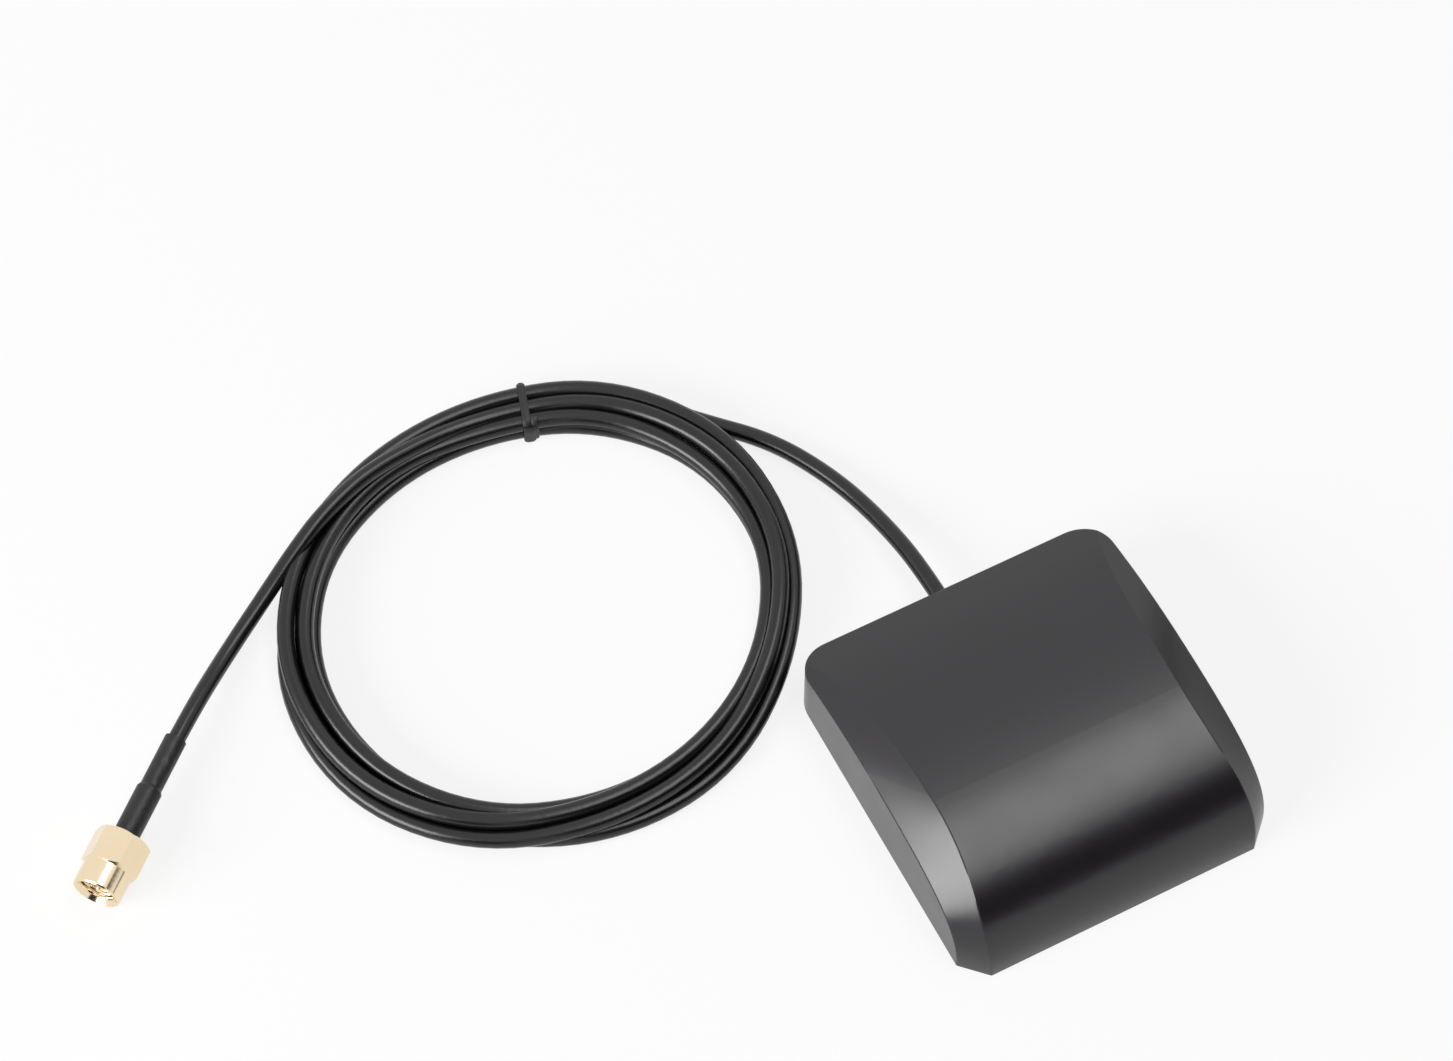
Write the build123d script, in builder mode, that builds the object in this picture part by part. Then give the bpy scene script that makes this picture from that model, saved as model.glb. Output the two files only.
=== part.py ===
"""Magnetic puck antenna with a coiled coaxial lead and a threaded coaxial plug.

Millimetres, +Z up. The origin is the centre of the puck's underside, +Y points to
its back wall, where the lead comes out, and -Y to the front, where the top rolls
down to the base.
"""

import os
from math import cos, pi, radians, sin, tan

from build123d import *

# Puck outside
body_width = 53.5
body_length = 57.0
back_corner_radius = 5.6
front_corner_cut = 3.9
wall = 2.0

# Side view of the top, along the middle of the puck
crown_y = -6.0
crown_clearance = 3.39
back_fall = 7.3
roll_foot_pull = 0.60
roll_crown_pull = 0.62

# Side view where the bevels meet the side walls
rim_crown_y = 4.4
rim_drop = 3.8
rim_foot_pull = 0.80
rim_crown_pull = 0.72

# Side view of the bevels at a plane inside the arch
bevel_reach = 7.0
bevel_crown_y = -7.5
bevel_rise = 1.0
bevel_back_rise = 1.75
bevel_foot_pull = 0.70
bevel_crown_pull = 0.62
edge_round = 0.35
crisp_angle = 20.0

# Base plate and its seal
rim_wall = 1.2
fit_gap = 0.15
plate_thickness = 1.8
gasket_thickness = 0.8
gasket_width = 1.0

# Screws that hold the base plate
screw_side_inset = 6.25
screw_back_inset = 7.0
screw_front_inset = 8.5
screw_radius = 1.2
screw_tip_chamfer = 0.6
screw_length = 7.4
screw_head_radius = 2.3
screw_gap = 0.05
boss_radius = 2.5
cross_width = 0.5
cross_span = 2.4
cross_depth = 0.7

# Circuit board and its standoffs
board_edge = 2.4
board_thickness = 1.0
board_underside = 5.8
board_screw_radius = 0.8
board_screw_length = 4.0
board_head_radius = 1.75
board_head_height = 1.2
board_head_gap = 0.35
standoff_radius = 2.0

# Patch element
patch_size = 25.0
patch_thickness = 4.0
patch_corner_cut = 1.0
electrode_margin = 1.8
electrode_trim = 2.2
electrode_thickness = 0.08
ground_margin = 0.4
adhesive_thickness = 0.3
adhesive_margin = 1.0
feed_offset = -2.6
feed_radius = 0.45
feed_hole_gap = 0.1
feed_head_radius = 1.0
feed_head_height = 0.25
feed_clearance_radius = 1.5
feed_tail = 0.7

# Amplifier under its screening can
can_width = 14.0
can_length = 18.0
can_height = 2.2
can_wall = 0.2
can_y = -1.0
amplifier_size = 3.0
amplifier_height = 0.9
filter_width = 3.8
filter_height = 1.3
filter_gap = 1.25
regulator_length = 2.9
regulator_width = 1.6
regulator_height = 1.1
chip_length = 1.0
chip_width = 0.5

# Holding magnets in the base
magnet_width = 7.0
magnet_length = 21.0
magnet_height = 2.4
magnet_x = 14.4
magnet_gap = 0.1
magnet_chamfer = 0.3
rib_thickness = 0.8
rib_height = 1.8

# Lead and its strain relief
cable_radius = 1.4
bend_share = 0.45
core_radius = 0.75
core_gap = 0.05
conductor_radius = 0.25
neck_wall = 0.7
neck_gap = 0.05
flange_step = 0.45
flange_thickness = 1.2
boot_length = 1.0
boot_tip_wall = 0.45
crimp_wall = 0.7
crimp_length = 2.6
core_length = 9.9
conductor_length = 1.8

# Coil: the middle line of the bundle is an oval of four arcs
coil_x = -55.4
coil_y = 57.7
coil_short_half = 36.0
coil_stretch = 3.2
coil_flattening = 2.0
coil_turn = 16.6
lower_strands = 3
upper_strands = 2
tie_width = 1.4
tie_thickness = 0.5
tie_sink = 0.35
tie_bearing = 72.5

# Plug, measured back from its open end along its axis
plug_mouth = (-137.0, 43.9)
plug_bearing = 220.6
nut_length = 9.8
nut_wall = 1.18
nut_collar_length = 4.1
nut_collar_step = 0.15
nut_turned_angle = 30.0
mouth_chamfer = 0.2
thread_lead_in = 0.65
thread_minor_radius = 2.82
thread_depth = 4.6
relief_gap = 0.2
nut_play = 0.2
nut_bore_gap = 0.05
nut_back_gap = 0.2
reference_depth = 3.0
contact_radius = 2.295
contact_wall = 0.245
pin_radius = 0.46
pin_reach = 2.25
pin_tip = 0.25
inner_pin_radius = 0.635
body_radius = 2.6
body_flange_step = 0.4
body_flange_depth = 5.4
body_flange_length = 0.6
body_rear_wall = 1.1
seal_thickness = 0.5
seal_width = 0.485
ring_land = 1.0
ring_width = 0.5
ring_sink = 0.32
ring_stand = 0.38
ring_gap = 0.06
ring_opening = 1.4
ferrule_wall = 0.3
ferrule_length = 9.0
shrink_wall = 0.35
shrink_taper = 0.6
shrink_tail = 8.8
shrink_lead = 4.5

# Heights that follow from the stack inside
board_top = board_underside + board_thickness
ground_height = board_top + adhesive_thickness
ceramic_height = ground_height + electrode_thickness
electrode_height = ceramic_height + patch_thickness
patch_top = electrode_height + electrode_thickness
crown_height = patch_top + feed_head_height + crown_clearance + wall
back_height = crown_height - back_fall
rim_crown_height = crown_height - rim_drop
bevel_crown_height = crown_height + bevel_rise
bevel_back_height = back_height + bevel_back_rise
exit_height = board_underside - core_gap - core_radius
ledge_height = plate_thickness + gasket_thickness

# Places in plan that follow from the outside and the patch
half_width = body_width / 2
front_y = -body_length / 2
back_y = body_length / 2
plate_inset = rim_wall + fit_gap
screw_points = [
    (x, y)
    for x in (screw_side_inset - half_width, half_width - screw_side_inset)
    for y in (front_y + screw_front_inset, back_y - screw_back_inset)
]
board_screw_pitch = patch_size + 2 * (board_head_radius + board_head_gap)
board_size = board_screw_pitch + 2 * board_edge
inner_wall_y = back_y - wall
flange_y = inner_wall_y - flange_thickness
lead_start_y = flange_y - crimp_length - fit_gap
boot_end_y = back_y + boot_length
core_end_y = lead_start_y - core_length

# Radii round the lead
neck_radius = cable_radius + neck_wall
flange_radius = neck_radius + flange_step
ferrule_radius = cable_radius + ferrule_wall

# Plug sizes that follow from its thread, body and ring
plug_height = thread_minor_radius + nut_wall
nut_corner = 2 * plug_height / 3**0.5
nut_collar_radius = plug_height - nut_collar_step
bore_radius = body_radius + nut_bore_gap
body_flange_radius = body_radius + body_flange_step
relief_radius = body_flange_radius + relief_gap
dielectric_radius = contact_radius - contact_wall
shoulder_depth = body_flange_depth + body_flange_length + nut_play
ring_depth = shoulder_depth + ring_land
ring_end = ring_depth + ring_width
ring_outer_radius = body_radius + ring_stand
ring_inner_radius = body_radius - ring_sink
body_end = nut_length - nut_back_gap
dielectric_depth = body_end - body_rear_wall
ferrule_end = body_end + ferrule_length
braid_end = ferrule_end + shrink_taper
shrink_end = braid_end + shrink_tail


def turned(bearing, reach):
    """Horizontal offset of the given reach along a bearing in degrees."""
    return reach * cos(radians(bearing)), reach * sin(radians(bearing))


def on_plug(depth):
    """Plane across the plug's axis, its normal out of the mouth, this far behind it."""
    dx, dy = turned(plug_bearing, -depth)
    origin = (plug_mouth[0] + dx, plug_mouth[1] + dy, plug_height)
    return Plane(origin=origin, x_dir=(0, 0, 1), z_dir=(*turned(plug_bearing, 1), 0))


def side_outline(foot, crown, back, foot_pull, crown_pull):
    """Draw one closed side view: a roll up to the crown, then an arc down to the back."""
    roll_run = crown[0] - foot
    with BuildLine() as outline:
        Bezier(
            (foot, 0),
            (foot, foot_pull * crown[1]),
            (crown[0] - crown_pull * roll_run, crown[1]),
            crown,
        )
        TangentArc(crown, back, tangent=(1, 0))
        Polyline(back, (back[0], 0), (foot, 0))
    make_face(outline.edges())


def plan_outline(inset):
    """Draw the plan view: round back corners, cut front corners, all set in evenly."""
    Rectangle(body_width - 2 * inset, body_length - 2 * inset)
    fillet(vertices().group_by(Axis.Y)[-1], radius=back_corner_radius - inset)
    chamfer(vertices().group_by(Axis.Y)[0], length=front_corner_cut - inset * (2 - 2**0.5))


def housing_form(inset):
    """Solid inside the puck's outer surface, set in from it by the given distance."""
    foot = front_y + inset
    back = back_y - inset
    with BuildPart(mode=Mode.PRIVATE) as form:
        rim_x = half_width - inset
        bevel_x = rim_x - bevel_reach
        for x in (-rim_x, -bevel_x, bevel_x, rim_x):
            with BuildSketch(Plane.YZ.offset(x)):
                if abs(x) == rim_x:
                    side_outline(
                        foot + front_corner_cut,
                        (rim_crown_y, rim_crown_height - inset),
                        (back, back_height - inset),
                        rim_foot_pull,
                        rim_crown_pull,
                    )
                else:
                    side_outline(
                        foot + front_corner_cut - bevel_reach,
                        (bevel_crown_y, bevel_crown_height - inset),
                        (back, bevel_back_height - inset),
                        bevel_foot_pull,
                        bevel_crown_pull,
                    )
        loft(ruled=True)
        with BuildSketch(Plane.YZ):
            side_outline(
                foot,
                (crown_y, crown_height - inset),
                (back, back_height - inset),
                roll_foot_pull,
                roll_crown_pull,
            )
        extrude(amount=body_width, both=True, mode=Mode.INTERSECT)
        with BuildSketch():
            plan_outline(inset)
        extrude(amount=crown_height, mode=Mode.INTERSECT)
    return form.part


def crisp_edges(form):
    """Edges above the base where two faces of the form meet at a clear angle."""
    crisp = []
    for edge in form.edges():
        middle = edge @ 0.5
        sides = [
            face.normal_at(middle)
            for face in form.faces()
            if any(edge.is_same(other) for other in face.edges())
        ]
        if middle.Z > fit_gap and sides[0].get_angle(sides[-1]) > crisp_angle:
            crisp.append(edge)
    return crisp


def route_radii(points):
    """Corner radii that use an equal share of the shorter run at each corner."""
    runs = [Vector(*b) - Vector(*a) for a, b in zip(points, points[1:])]
    return [
        bend_share * min(before.length, after.length) / tan(radians(before.get_angle(after) / 2))
        for before, after in zip(runs, runs[1:])
    ]


def bundle_outline(grow):
    """Draw flat sides round the bundle's two rows of strands, grown by the given distance."""
    reach = cable_radius + grow
    side = 2 * reach / 3**0.5
    lower_half = (lower_strands - 1) * cable_radius
    upper_half = (upper_strands - 1) * cable_radius
    top = cable_radius * (1 + 3**0.5) + reach
    with BuildLine() as outline:
        Polyline(
            (-lower_half - side / 2, cable_radius - reach),
            (lower_half + side / 2, cable_radius - reach),
            (lower_half + side, cable_radius),
            (upper_half + side / 2, top),
            (-upper_half - side / 2, top),
            (-lower_half - side, cable_radius),
            close=True,
        )
    make_face(outline.edges())


os.makedirs("parts", exist_ok=True)

# Planes and axes that several pieces share
plug_side = Plane(
    origin=(*plug_mouth, plug_height),
    x_dir=(*turned(plug_bearing, -1), 0),
    z_dir=(*turned(plug_bearing + 90, 1), 0),
)
plug_axis = Axis(plug_side.origin, plug_side.x_dir)
exit_axis = Axis((0, 0, exit_height), (0, 1, 0))

outer_form = housing_form(0)
inner_form = housing_form(wall)

# Top cover: thin shell with screw bosses, a seal ledge and the cable hole
with BuildPart() as screw_bosses:
    with BuildSketch(Plane.XY.offset(plate_thickness)):
        with Locations(*screw_points):
            Circle(boss_radius)
    extrude(amount=crown_height)
    add(outer_form, mode=Mode.INTERSECT)

with BuildPart() as top_cover:
    add(outer_form.fillet(edge_round, crisp_edges(outer_form)))
    add(inner_form, mode=Mode.SUBTRACT)
    with BuildSketch():
        plan_outline(rim_wall)
    extrude(amount=ledge_height, mode=Mode.SUBTRACT)
    add(screw_bosses.part)
    with BuildSketch(Plane.XY.offset(plate_thickness)):
        with Locations(*screw_points):
            Circle(screw_radius + screw_gap)
    extrude(amount=screw_length + fit_gap - plate_thickness, mode=Mode.SUBTRACT)
    with BuildSketch(Plane.XZ.offset(-back_y)):
        with Locations((0, exit_height)):
            Circle(neck_radius + neck_gap)
    extrude(amount=2 * wall, mode=Mode.SUBTRACT)

# Base plate with board standoffs and magnet pockets
with BuildPart() as base_cover:
    with BuildSketch():
        plan_outline(plate_inset)
    extrude(amount=plate_thickness)
    with BuildSketch(Plane.XY.offset(plate_thickness)):
        with GridLocations(board_screw_pitch, board_screw_pitch, 2, 2):
            Circle(standoff_radius)
    extrude(amount=board_underside - plate_thickness)
    with BuildSketch(Plane.XY.offset(plate_thickness)):
        with GridLocations(2 * magnet_x, 1, 2, 1):
            Rectangle(
                magnet_width + 2 * (magnet_gap + rib_thickness),
                magnet_length + 2 * (magnet_gap + rib_thickness),
            )
            Rectangle(
                magnet_width + 2 * magnet_gap, magnet_length + 2 * magnet_gap, mode=Mode.SUBTRACT
            )
    extrude(amount=rib_height)
    with BuildSketch(Plane.XY.offset(board_underside)):
        with GridLocations(board_screw_pitch, board_screw_pitch, 2, 2):
            Circle(board_screw_radius + screw_gap)
    extrude(amount=-(board_screw_length - board_thickness + fit_gap), mode=Mode.SUBTRACT)
    with Locations(*[Plane((x, y, 0), z_dir=(0, 0, -1)) for x, y in screw_points]):
        CounterSinkHole(
            radius=screw_radius + screw_gap,
            counter_sink_radius=screw_head_radius + screw_gap,
            depth=plate_thickness,
            counter_sink_angle=90,
        )

# Seal between the cover's ledge and the base plate
with BuildPart() as seal_gasket:
    with BuildSketch(Plane.XY.offset(plate_thickness)):
        plan_outline(plate_inset)
        with BuildSketch(mode=Mode.PRIVATE) as seal_hole:
            plan_outline(plate_inset + gasket_width)
        add(seal_hole.sketch, mode=Mode.SUBTRACT)
    extrude(amount=gasket_thickness)

# Countersunk screws, driven up into the cover's bosses
with BuildPart() as base_screws:
    with Locations(*[(x, y, 0) for x, y in screw_points]):
        Cone(
            screw_head_radius,
            screw_radius,
            screw_head_radius - screw_radius,
            align=(Align.CENTER, Align.CENTER, Align.MIN),
        )
        Cylinder(screw_radius, screw_length, align=(Align.CENTER, Align.CENTER, Align.MIN))
    chamfer(edges().group_by(Axis.Z)[-1], length=screw_tip_chamfer)
    with BuildSketch():
        with Locations(*screw_points):
            Rectangle(cross_span, cross_width)
            Rectangle(cross_width, cross_span)
    extrude(amount=cross_depth, mode=Mode.SUBTRACT)

# Magnets that hold the puck to steel
with BuildPart() as magnets:
    with BuildSketch(Plane.XY.offset(plate_thickness)):
        with GridLocations(2 * magnet_x, 1, 2, 1):
            Rectangle(magnet_width, magnet_length)
    extrude(amount=magnet_height)
    chamfer(edges().group_by(Axis.Z)[-1], length=magnet_chamfer)

# Circuit board and its screws
with BuildPart() as circuit_board:
    with BuildSketch(Plane.XY.offset(board_underside)):
        RectangleRounded(board_size, board_size, standoff_radius)
        with GridLocations(board_screw_pitch, board_screw_pitch, 2, 2):
            Circle(board_screw_radius + screw_gap, mode=Mode.SUBTRACT)
        with Locations((0, feed_offset)):
            Circle(feed_radius + feed_hole_gap, mode=Mode.SUBTRACT)
    extrude(amount=board_thickness)

with BuildPart() as board_screws:
    with BuildSketch(Plane.XY.offset(board_top)):
        with GridLocations(board_screw_pitch, board_screw_pitch, 2, 2):
            Circle(board_head_radius)
    extrude(amount=board_head_height)
    chamfer(edges().group_by(Axis.Z)[-1], length=board_head_height / 3)
    with BuildSketch(Plane.XY.offset(board_top)):
        with GridLocations(board_screw_pitch, board_screw_pitch, 2, 2):
            Circle(board_screw_radius)
    extrude(amount=-board_screw_length)

# Patch element: ceramic tile between two metal layers, on an adhesive pad
with BuildPart() as patch_adhesive:
    with BuildSketch(Plane.XY.offset(board_top)):
        Rectangle(patch_size - 2 * adhesive_margin, patch_size - 2 * adhesive_margin)
        with Locations((0, feed_offset)):
            Circle(feed_clearance_radius, mode=Mode.SUBTRACT)
    extrude(amount=adhesive_thickness)

with BuildPart() as ground_electrode:
    with BuildSketch(Plane.XY.offset(ground_height)):
        Rectangle(patch_size - 2 * ground_margin, patch_size - 2 * ground_margin)
        with Locations((0, feed_offset)):
            Circle(feed_clearance_radius, mode=Mode.SUBTRACT)
    extrude(amount=electrode_thickness)

with BuildPart() as ceramic_patch:
    with BuildSketch(Plane.XY.offset(ceramic_height)):
        tile = Rectangle(patch_size, patch_size)
        chamfer(tile.vertices(), length=patch_corner_cut)
        with Locations((0, feed_offset)):
            Circle(feed_radius + feed_hole_gap, mode=Mode.SUBTRACT)
    extrude(amount=patch_thickness)

with BuildPart() as patch_electrode:
    with BuildSketch(Plane.XY.offset(electrode_height)):
        layer = Rectangle(patch_size - 2 * electrode_margin, patch_size - 2 * electrode_margin)
        corners = layer.vertices().sort_by(Axis((0, 0, 0), (1, 1, 0)))
        chamfer([corners[0], corners[-1]], length=electrode_trim)
        with Locations((0, feed_offset)):
            Circle(feed_radius, mode=Mode.SUBTRACT)
    extrude(amount=electrode_thickness)

with BuildPart() as feed_pin:
    with BuildSketch(Plane.XY.offset(board_underside - feed_tail)):
        with Locations((0, feed_offset)):
            Circle(feed_radius)
    extrude(amount=patch_top - board_underside + feed_tail)
    with BuildSketch(Plane.XY.offset(patch_top)):
        with Locations((0, feed_offset)):
            Circle(feed_head_radius)
    extrude(amount=feed_head_height)
    chamfer(edges().group_by(Axis.Z)[-1], length=feed_head_height / 2)

# Amplifier parts on the board's underside, inside a screening can
with BuildPart() as shield_can:
    with BuildSketch(Plane.XY.offset(board_underside)):
        with Locations((0, can_y)):
            Rectangle(can_width, can_length)
    extrude(amount=-can_height)
    fillet(edges().filter_by(Axis.Z), radius=2 * can_wall)
    offset(amount=-can_wall, openings=faces().sort_by(Axis.Z)[-1])

with BuildPart() as amplifier_chip:
    with BuildSketch(Plane.XY.offset(board_underside)):
        with Locations((0, can_y + amplifier_size)):
            Rectangle(amplifier_size, amplifier_size)
    extrude(amount=-amplifier_height)

with BuildPart() as band_filter:
    with BuildSketch(Plane.XY.offset(board_underside)):
        with Locations((0, feed_offset - feed_radius - filter_gap - filter_width / 2)):
            Rectangle(filter_width, filter_width)
    extrude(amount=-filter_height)

with BuildPart() as voltage_regulator:
    with BuildSketch(Plane.XY.offset(board_underside)):
        with Locations((can_width / 4, can_y + can_length / 3)):
            Rectangle(regulator_length, regulator_width)
    extrude(amount=-regulator_height)

with BuildPart() as small_components:
    with BuildSketch(Plane.XY.offset(board_underside)):
        with Locations((0, can_y - can_length / 6)):
            with GridLocations(2 * can_width / 3, can_length / 6, 2, 4):
                Rectangle(chip_length, chip_width)
    extrude(amount=-chip_width)

# Strain relief, inner crimp ring and the lead's stripped end
with BuildPart() as strain_relief:
    with BuildSketch(Plane.YZ):
        with BuildLine():
            Polyline(
                (flange_y, exit_height + cable_radius),
                (flange_y, exit_height + flange_radius),
                (inner_wall_y, exit_height + flange_radius),
                (inner_wall_y, exit_height + neck_radius),
                (back_y, exit_height + neck_radius),
                (boot_end_y, exit_height + cable_radius + boot_tip_wall),
                (boot_end_y, exit_height + cable_radius),
                close=True,
            )
        make_face()
    revolve(axis=exit_axis)
    split(bisect_by=Plane.XY.offset(ledge_height), keep=Keep.TOP)

with BuildPart() as crimp_ring:
    with BuildSketch(Plane.XZ.offset(-flange_y + fit_gap)):
        with Locations((0, exit_height)):
            Circle(cable_radius + crimp_wall)
            Circle(cable_radius, mode=Mode.SUBTRACT)
    extrude(amount=crimp_length)

with BuildPart() as cable_core:
    with BuildSketch(Plane.XZ.offset(-lead_start_y)):
        with Locations((0, exit_height)):
            Circle(core_radius)
    extrude(amount=core_length)
    with BuildSketch(Plane.XZ.offset(-core_end_y)):
        with Locations((0, exit_height)):
            Circle(conductor_radius)
    extrude(amount=conductor_length)

with BuildPart() as signal_joint:
    with BuildSketch(Plane.XY.offset(board_underside)):
        with Locations((0, core_end_y - conductor_length / 2)):
            Circle(conductor_length / 2 - fit_gap)
    extrude(amount=exit_height - board_underside)
    add(cable_core.part, mode=Mode.SUBTRACT)

# Lead from the back wall to the coil
lead_route = [
    (0, lead_start_y, exit_height),
    (0, 34.6, exit_height),
    (-1.0, 46.6, 3.0),
    (-3.6, 57.9, cable_radius),
    (-9.2, 68.6, cable_radius),
    (-17.7, 77.0, cable_radius),
]
lead_radii = route_radii(lead_route)
with BuildPart() as cable_lead:
    with BuildLine() as lead_line:
        FilletPolyline(*lead_route, radius=lead_radii)
    with BuildSketch(Plane(origin=lead_route[0], z_dir=lead_line.line % 0)):
        Circle(cable_radius)
    sweep(path=lead_line.line)

# Coiled length: the bundle's outline swept round the oval
coil_plane = Plane((coil_x, coil_y, 0)).rotated((0, 0, coil_turn))
coil_end_radius = coil_short_half - coil_flattening
end_offset = coil_stretch + coil_flattening
side_radius = (end_offset**2 + coil_short_half**2 - coil_end_radius**2) / (2 * coil_flattening)
side_offset = side_radius - coil_short_half
with BuildLine(coil_plane) as coil_line:
    join = Vector(end_offset, side_offset).get_angle(Vector(1, 0))
    CenterArc((end_offset, 0), coil_end_radius, -join, 2 * join)
    CenterArc((0, -side_offset), side_radius, join, 180 - 2 * join)
    CenterArc((-end_offset, 0), coil_end_radius, 180 - join, 2 * join)
    CenterArc((0, side_offset), side_radius, 180 + join, 180 - 2 * join)

tie_radial = Vector(*turned(tie_bearing - coil_turn, 1))
tie_centre = Vector(0, -side_offset) + tie_radial * side_radius
tie_plane = Plane(
    origin=coil_plane.from_local_coords(tie_centre),
    x_dir=(*turned(tie_bearing, 1), 0),
    z_dir=(*turned(tie_bearing - 90, 1), 0),
)
coil_start = Plane(
    origin=coil_line.line @ 0,
    x_dir=coil_line.line @ 0 - coil_plane.from_local_coords(Vector(end_offset, 0)),
    z_dir=-(coil_line.line % 0),
)
with BuildPart() as cable_coil:
    with BuildSketch(coil_start):
        bundle_outline(0)
    sweep(path=coil_line.line)
    with BuildSketch(tie_plane):
        bundle_outline(2 * tie_thickness)
        with BuildSketch(mode=Mode.PRIVATE) as squeezed:
            bundle_outline(-tie_sink)
        add(squeezed.sketch, mode=Mode.SUBTRACT)
    extrude(amount=tie_width / 2, both=True, mode=Mode.SUBTRACT)

with BuildPart() as cable_tie:
    with BuildSketch(tie_plane):
        bundle_outline(tie_thickness - tie_sink)
        with BuildSketch(mode=Mode.PRIVATE) as squeezed:
            bundle_outline(-tie_sink)
        add(squeezed.sketch, mode=Mode.SUBTRACT)
    extrude(amount=tie_width / 2, both=True)
    split(bisect_by=Plane.XY, keep=Keep.TOP)

# Tail from the coil to the plug
plug_points = [on_plug(depth).origin for depth in (shrink_end + shrink_lead, braid_end)]
tail_route = [
    (-74.5, 90.8, 4.0),
    (-83.3, 85.8, 4.3),
    (-92.4, 80.2, 3.7),
    (-102.0, 73.6, 1.7),
    *[tuple(point) for point in plug_points],
]
tail_radii = route_radii(tail_route)
with BuildPart() as cable_tail:
    with BuildLine() as tail_line:
        FilletPolyline(*tail_route, radius=tail_radii)
    with BuildSketch(Plane(origin=tail_route[0], z_dir=tail_line.line % 0)):
        Circle(cable_radius)
    sweep(path=tail_line.line)

# Heat-shrink sleeve, crimp ferrule and the braid under it
with BuildPart() as heat_shrink:
    with BuildSketch(plug_side):
        with BuildLine():
            Polyline(
                (body_end + nut_bore_gap, ferrule_radius),
                (body_end + nut_bore_gap, ferrule_radius + shrink_wall),
                (ferrule_end, ferrule_radius + shrink_wall),
                (braid_end, cable_radius + shrink_wall),
                (shrink_end, cable_radius + shrink_wall),
                (shrink_end, cable_radius),
                (braid_end - shrink_wall, cable_radius),
                (ferrule_end, ferrule_radius),
                close=True,
            )
        make_face()
    revolve(axis=plug_axis)

with BuildPart() as crimp_ferrule:
    with BuildSketch(on_plug(ferrule_end)):
        Circle(ferrule_radius)
        Circle(cable_radius, mode=Mode.SUBTRACT)
    extrude(amount=ferrule_length)

with BuildPart() as crimped_braid:
    with BuildSketch(on_plug(braid_end)):
        Circle(cable_radius)
    extrude(amount=braid_end - body_end)

# Plug body, turned from bar, with its insulator, centre pin and mating seal
with BuildPart() as connector_body:
    with BuildSketch(plug_side):
        with BuildLine():
            Polyline(
                (reference_depth, dielectric_radius),
                (reference_depth, contact_radius),
                (body_flange_depth, contact_radius),
                (body_flange_depth, body_flange_radius),
                (body_flange_depth + body_flange_length, body_flange_radius),
                (body_flange_depth + body_flange_length, body_radius),
                (ring_depth - ring_gap, body_radius),
                (ring_depth - ring_gap, ring_inner_radius - ring_gap),
                (ring_end + ring_gap, ring_inner_radius - ring_gap),
                (ring_end + ring_gap, body_radius),
                (body_end, body_radius),
                (body_end, core_radius),
                (dielectric_depth, core_radius),
                (dielectric_depth, dielectric_radius),
                close=True,
            )
        make_face()
    revolve(axis=plug_axis)

with BuildPart() as connector_dielectric:
    with BuildSketch(on_plug(dielectric_depth)):
        Circle(dielectric_radius)
        Circle(inner_pin_radius, mode=Mode.SUBTRACT)
    extrude(amount=dielectric_depth - reference_depth)

with BuildPart() as centre_contact:
    with BuildSketch(on_plug(dielectric_depth)):
        Circle(inner_pin_radius)
    extrude(amount=dielectric_depth - reference_depth)
    with BuildSketch(on_plug(reference_depth)):
        Circle(pin_radius)
    extrude(amount=pin_reach)
    chamfer(edges().sort_by(plug_axis)[0], length=pin_tip, length2=pin_tip / 2)

with BuildPart() as mating_seal:
    with BuildSketch(on_plug(body_flange_depth)):
        Circle(contact_radius + seal_width)
        Circle(contact_radius, mode=Mode.SUBTRACT)
    extrude(amount=seal_thickness)

with BuildPart() as snap_ring:
    with BuildSketch(on_plug(ring_end)):
        Circle(ring_outer_radius)
        Circle(ring_inner_radius, mode=Mode.SUBTRACT)
        with Locations((0, -ring_outer_radius)):
            Rectangle(ring_opening, 2 * ring_outer_radius, mode=Mode.SUBTRACT)
    extrude(amount=ring_width)

# Coupling nut: hexagon bar turned at both ends, bored for the thread, turning on the body
turned_slope = tan(radians(nut_turned_angle))
with BuildPart() as coupling_nut:
    with BuildSketch(plug_side):
        with BuildLine():
            Polyline(
                (0, 0),
                (0, nut_collar_radius - mouth_chamfer),
                (mouth_chamfer, nut_collar_radius),
                (nut_collar_length, nut_collar_radius),
                (nut_collar_length + (nut_corner - nut_collar_radius) * turned_slope, nut_corner),
                (nut_length - (nut_corner - plug_height) * turned_slope, nut_corner),
                (nut_length, plug_height),
                (nut_length, 0),
                close=True,
            )
        make_face()
    revolve(axis=plug_axis)
    with BuildSketch(on_plug(nut_length)):
        RegularPolygon(plug_height, 6, major_radius=False, rotation=30)
    extrude(amount=nut_length, mode=Mode.INTERSECT)
    with BuildSketch(plug_side):
        with BuildLine():
            Polyline(
                (0, 0),
                (0, thread_minor_radius + thread_lead_in),
                (thread_lead_in, thread_minor_radius),
                (thread_depth, thread_minor_radius),
                (thread_depth, relief_radius),
                (shoulder_depth, relief_radius),
                (shoulder_depth, bore_radius),
                (ring_depth - ring_gap, bore_radius),
                (ring_depth - ring_gap, ring_outer_radius + ring_gap),
                (ring_end + ring_gap, ring_outer_radius + ring_gap),
                (ring_end + ring_gap, bore_radius),
                (nut_length, bore_radius),
                (nut_length, 0),
                close=True,
            )
        make_face()
    revolve(axis=plug_axis, mode=Mode.SUBTRACT)

print("lead radii", [round(radius, 1) for radius in lead_radii])
print("tail radii", [round(radius, 1) for radius in tail_radii])
for name, piece, line in (("lead", cable_lead, lead_line), ("tail", cable_tail, tail_line)):
    length = sum(edge.length for edge in line.edges())
    share = piece.part.volume / (pi * cable_radius**2 * length)
    print(name, "length", round(length, 2), "volume over section times length", round(share, 4))

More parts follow.
